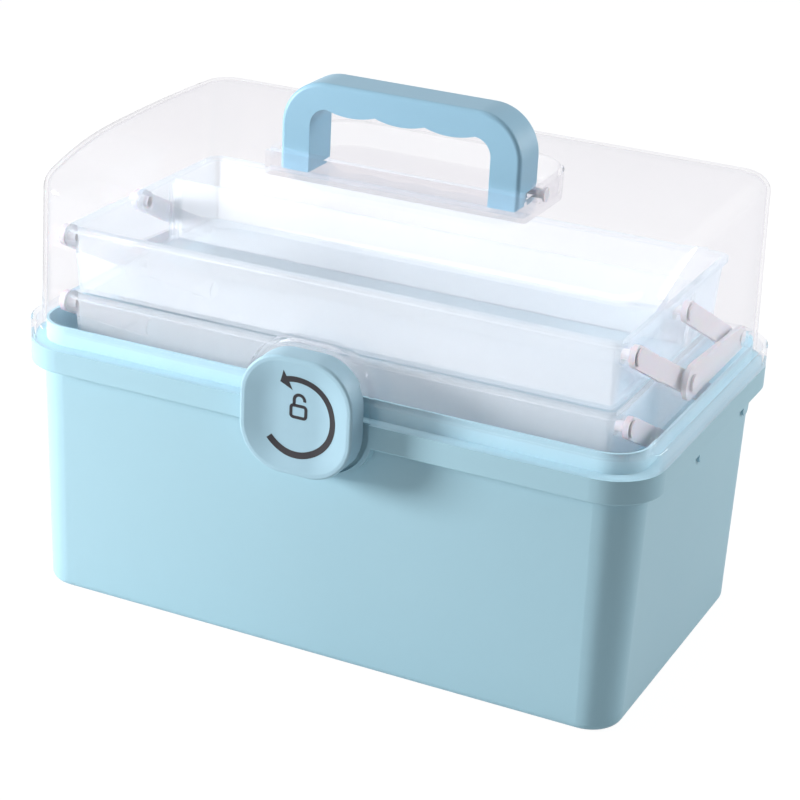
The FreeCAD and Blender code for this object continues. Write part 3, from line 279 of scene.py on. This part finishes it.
opaqueSettings = {
    "tubPlastic": {"colour": (177, 213, 226), "flow": (173, 210, 224), "gloss": 0.30, "spread": 0.10,
                   "grain": 1400.0, "bump": 0.05, "depth": 0.00006, "shine": 0.04, "coat": 0.0, "soft": 0.0},
    "handlePlastic": {"colour": (158, 201, 224), "flow": (153, 197, 221), "gloss": 0.36, "spread": 0.10,
                      "grain": 1500.0, "bump": 0.08, "depth": 0.00008, "shine": 0.35, "coat": 0.04, "soft": 0.0},
    "knobPlastic": {"colour": (175, 208, 223), "flow": (171, 205, 221), "gloss": 0.34, "spread": 0.08,
                    "grain": 1500.0, "bump": 0.06, "depth": 0.00006, "shine": 0.15, "coat": 0.03, "soft": 0.0},
    "milkyPlastic": {"colour": (206, 205, 212), "flow": (198, 198, 207), "gloss": 0.38, "spread": 0.10,
                     "grain": 1600.0, "bump": 0.06, "depth": 0.00006, "shine": 0.45, "coat": 0.0, "soft": 0.35},
    "pinSteel": {"colour": (184, 187, 192), "flow": (170, 173, 180), "gloss": 0.28, "spread": 0.18,
                 "grain": 2200.0, "bump": 0.10, "depth": 0.00005, "shine": 0.50, "coat": 0.0, "soft": 0.0},
    "signInk": {"colour": (36, 34, 40), "flow": (42, 40, 46), "gloss": 0.42, "spread": 0.12,
                "grain": 1800.0, "bump": 0.05, "depth": 0.00003, "shine": 0.40, "coat": 0.0, "soft": 0.0},
}


def makeOpaque(name, settings):
    material, tree, shader, skin, bump = startMaterial(name, mouldedSkin)
    skin.inputs["Colour"].default_value = toLinear(settings["colour"])
    skin.inputs["Flow Colour"].default_value = toLinear(settings["flow"])
    skin.inputs["Gloss"].default_value = settings["gloss"]
    skin.inputs["Gloss Spread"].default_value = settings["spread"]
    skin.inputs["Grain Scale"].default_value = settings["grain"]
    tree.links.new(skin.outputs["Colour"], shader.inputs["Base Color"])
    bump.inputs["Strength"].default_value = settings["bump"]
    bump.inputs["Distance"].default_value = settings["depth"]
    shader.inputs["Specular IOR Level"].default_value = settings["shine"]
    shader.inputs["Coat Weight"].default_value = settings["coat"]
    shader.inputs["Coat Roughness"].default_value = 0.12
    shader.inputs["Subsurface Weight"].default_value = settings["soft"]
    shader.inputs["Subsurface Scale"].default_value = 0.003
    shader.inputs["Metallic"].default_value = 1.0 if name == "pinSteel" else 0.0
    return material


# edge: the colour of the painted shade at grazing views, on the trays also painted blue light from the tub; the
# number before it sets how tightly that shade keeps to the edges
clearSettings = {
    "lidPlastic": {"colour": (0.965, 0.96, 0.972, 1), "edge": (0.45, 0.42, 0.52, 1), "rim": 5.0,
                   "gloss": 0.03, "haze": 0.04, "wave": 16.0, "bump": 0.02, "depth": 0.0005,
                   "index": 1.03, "clear": 1.0, "coat": 0.55, "lamps": 0.96},
    "trayPlastic": {"colour": (0.94, 0.955, 0.975, 1), "edge": (0.62, 0.78, 0.90, 1), "rim": 2.5,
                    "gloss": 0.03, "haze": 0.04, "wave": 20.0, "bump": 0.02, "depth": 0.0005,
                    "index": 1.038, "clear": 0.78, "coat": 0.3, "lamps": 0.97},
}


def makeClear(name, settings):
    # thin moulded walls: little bending; towards grazing views the colour darkens to the edge colour, which is
    # painted shade for the lid's edge lines and on the trays also painted blue light from the tub, and only in
    # part the longer path through the wall; lamps shine through to what they hold
    material, tree, shader, skin, bump = startMaterial(name, castSkin)
    skin.inputs["Gloss"].default_value = settings["gloss"]
    skin.inputs["Haze"].default_value = settings["haze"]
    skin.inputs["Wave Scale"].default_value = settings["wave"]
    bump.inputs["Strength"].default_value = settings["bump"]
    bump.inputs["Distance"].default_value = settings["depth"]
    # painted shade: towards grazing views the body colour blends to the darker edge colour
    graze = tree.nodes.new("ShaderNodeLayerWeight")
    graze.inputs["Blend"].default_value = 0.5
    rim = tree.nodes.new("ShaderNodeMath")
    rim.operation = "POWER"
    rim.inputs[1].default_value = settings["rim"]
    colourBlend = tree.nodes.new("ShaderNodeMix")
    colourBlend.data_type = "RGBA"
    colourBlend.inputs[6].default_value = settings["colour"]
    colourBlend.inputs[7].default_value = settings["edge"]
    tree.links.new(graze.outputs["Facing"], rim.inputs[0])
    tree.links.new(rim.outputs[0], colourBlend.inputs["Factor"])
    tree.links.new(colourBlend.outputs[2], shader.inputs["Base Color"])
    shader.inputs["IOR"].default_value = settings["index"]
    shader.inputs["Metallic"].default_value = 0.0
    shader.inputs["Transmission Weight"].default_value = settings["clear"]
    shader.inputs["Coat Weight"].default_value = settings["coat"]
    shader.inputs["Coat Roughness"].default_value = 0.03
    path = tree.nodes.new("ShaderNodeLightPath")
    clear = tree.nodes.new("ShaderNodeBsdfTransparent")
    clear.inputs["Color"].default_value = (settings["lamps"],) * 3 + (1,)
    mix = tree.nodes.new("ShaderNodeMixShader")
    output = tree.nodes["Material Output"]
    tree.links.new(path.outputs["Is Shadow Ray"], mix.inputs[0])
    tree.links.new(shader.outputs[0], mix.inputs[1])
    tree.links.new(clear.outputs[0], mix.inputs[2])
    tree.links.new(mix.outputs[0], output.inputs["Surface"])
    return material


materials = {name: makeOpaque(name, settings) for name, settings in opaqueSettings.items()}
materials.update({name: makeClear(name, settings) for name, settings in clearSettings.items()})
nodeFinish = {
    "base_tub": "tubPlastic",
    "base_pivot_pins": "tubPlastic",
    "handle": "handlePlastic",
    "latch_knob": "knobPlastic",
    "clear_lid": "lidPlastic",
    "upper_tray": "trayPlastic",
    "upper_tray_divider": "trayPlastic",
    "middle_tray": "trayPlastic",
    "hinge_pins": "pinSteel",
    "knob_washer": "pinSteel",
}
for name, piece in nodes.items():
    piece.data.materials.clear()
    piece.data.materials.append(materials[nodeFinish.get(name, "milkyPlastic")])
print("finishes made:", len(materials))


# signs on the knob: an open padlock inside a turning arrow, printed on the dish
signSettings = {
    "middle": (0.0, 133.9),
    "start": -112.0,
    "print": 0.05,
    "arrow": {"centre": (-0.4, -0.6), "radius": 18.6, "stroke": 3.0, "start": -139.0, "sweep": 250.0},
    "head": {"spot": (-5.2, 16.9), "length": 7.8, "width": 10.4, "notch": 3.2, "turn": 202.0},
    "lock": {"spot": (0.0, 1.85), "width": 9.2, "height": 7.3, "corner": 2.0, "stroke": 1.5},
    "shackle": {"centre": (0.4, 7.5), "radius": 2.7, "stroke": 1.5, "start": -6.0, "sweep": 186.0, "leg": 2.4},
}


def signPlace(settings, spot):
    return (spot[0] * mm, settings["start"] * mm, (settings["middle"][1] + spot[1]) * mm)


def pickVertices(piece, chosen):
    bpy.ops.object.mode_set(mode="OBJECT")
    for vertex in piece.data.vertices:
        vertex.select = vertex.index in chosen
    for edge in piece.data.edges:
        edge.select = set(edge.vertices) <= set(chosen)
    for face in piece.data.polygons:
        face.select = set(face.vertices) <= set(chosen)
    bpy.ops.object.mode_set(mode="EDIT")


def sweptSign(name, settings, part):
    # one radial edge spun round the arc's centre
    a = math.radians(part["start"])
    stroke = part["stroke"]
    spot = (
        part["centre"][0] + part["radius"] * math.cos(a) - stroke / 2 * math.sin(a),
        part["centre"][1] + part["radius"] * math.sin(a) + stroke / 2 * math.cos(a),
    )
    bpy.ops.mesh.primitive_plane_add(size=stroke * mm, location=signPlace(settings, spot),
                                     rotation=(math.pi / 2, -a, 0))
    sign = bpy.context.object
    sign.name = name
    bpy.ops.object.transform_apply(location=True, rotation=True, scale=True)
    pickVertices(sign, (2, 3))
    bpy.ops.mesh.delete(type="VERT")
    bpy.ops.mesh.select_all(action="SELECT")
    bpy.ops.mesh.spin(steps=int(part["sweep"] / 4), angle=math.radians(part["sweep"]),
                      center=signPlace(settings, part["centre"]), axis=(0, 1, 0))
    if "leg" in part:
        bpy.ops.mesh.extrude_region_move(TRANSFORM_OT_translate={"value": (0, 0, -part["leg"] * mm)})
    bpy.ops.object.mode_set(mode="OBJECT")
    return sign


def arrowHead(name, settings, part):
    a = math.radians(part["turn"])
    bpy.ops.mesh.primitive_circle_add(vertices=4, radius=mm, fill_type="NGON",
                                      location=signPlace(settings, part["spot"]))
    head = bpy.context.object
    head.name = name
    bpy.ops.object.transform_apply(location=False, rotation=False, scale=True)
    tipAt = max(head.data.vertices, key=lambda vertex: vertex.co.x).index
    backAt = min(head.data.vertices, key=lambda vertex: vertex.co.x).index
    pickVertices(head, (tipAt,))
    bpy.ops.transform.translate(value=((part["length"] - part["notch"] - 1) * mm, 0, 0))
    pickVertices(head, (backAt,))
    bpy.ops.transform.translate(value=(mm, 0, 0))
    bpy.ops.object.mode_set(mode="OBJECT")
    head.scale = (1, part["width"] / 2, 1)
    head.rotation_euler = (math.pi / 2, -a, 0)
    bpy.ops.object.transform_apply(location=True, rotation=True, scale=True)
    return head


def lockBody(name, settings, part):
    bpy.ops.mesh.primitive_plane_add(size=mm, location=signPlace(settings, part["spot"]),
                                     rotation=(math.pi / 2, 0, 0))
    body = bpy.context.object
    body.name = name
    body.scale = (part["width"], part["height"], 1)
    bpy.ops.object.transform_apply(location=True, rotation=True, scale=True)
    bpy.ops.object.mode_set(mode="EDIT")
    bpy.ops.mesh.select_all(action="SELECT")
    bpy.ops.mesh.bevel(offset=part["corner"] * mm, segments=6, affect="VERTICES")
    bpy.ops.mesh.select_all(action="SELECT")
    bpy.ops.mesh.inset(thickness=part["stroke"] * mm)
    bpy.ops.mesh.delete(type="FACE")
    bpy.ops.object.mode_set(mode="OBJECT")
    return body


def printOn(sign, target, settings):
    # lay the flat sign on the dish, then give the ink its thickness
    bpy.context.view_layer.objects.active = sign
    wrap = sign.modifiers.new("lay", "SHRINKWRAP")
    wrap.target = target
    wrap.wrap_method = "PROJECT"
    wrap.use_project_y = True
    wrap.use_positive_direction = True
    wrap.use_negative_direction = True
    wrap.offset = settings["print"] * mm
    bpy.ops.object.modifier_apply(modifier="lay")
    ink = sign.modifiers.new("ink", "SOLIDIFY")
    ink.thickness = 2 * settings["print"] * mm
    ink.offset = 0
    bpy.ops.object.modifier_apply(modifier="ink")


def makeSigns(settings):
    signs = [
        sweptSign("turnArrow", settings, settings["arrow"]),
        arrowHead("arrowHead", settings, settings["head"]),
        lockBody("lockBody", settings, settings["lock"]),
        sweptSign("lockShackle", settings, settings["shackle"]),
    ]
    bpy.ops.object.select_all(action="DESELECT")
    for sign in signs:
        sign.select_set(True)
    bpy.context.view_layer.objects.active = signs[0]
    bpy.ops.object.join()
    joined = bpy.context.object
    joined.name = "knobSigns"
    bpy.ops.object.mode_set(mode="EDIT")
    bpy.ops.mesh.select_all(action="SELECT")
    bpy.ops.mesh.subdivide(number_cuts=2)
    bpy.ops.mesh.normals_make_consistent(inside=False)
    bpy.ops.object.mode_set(mode="OBJECT")
    printOn(joined, nodes["latch_knob"], settings)
    joined.data.materials.clear()
    joined.data.materials.append(materials["signInk"])
    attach(joined, "latch")
    return joined


knobSigns = makeSigns(signSettings)
print("signs printed:", len(knobSigns.data.polygons), "faces")
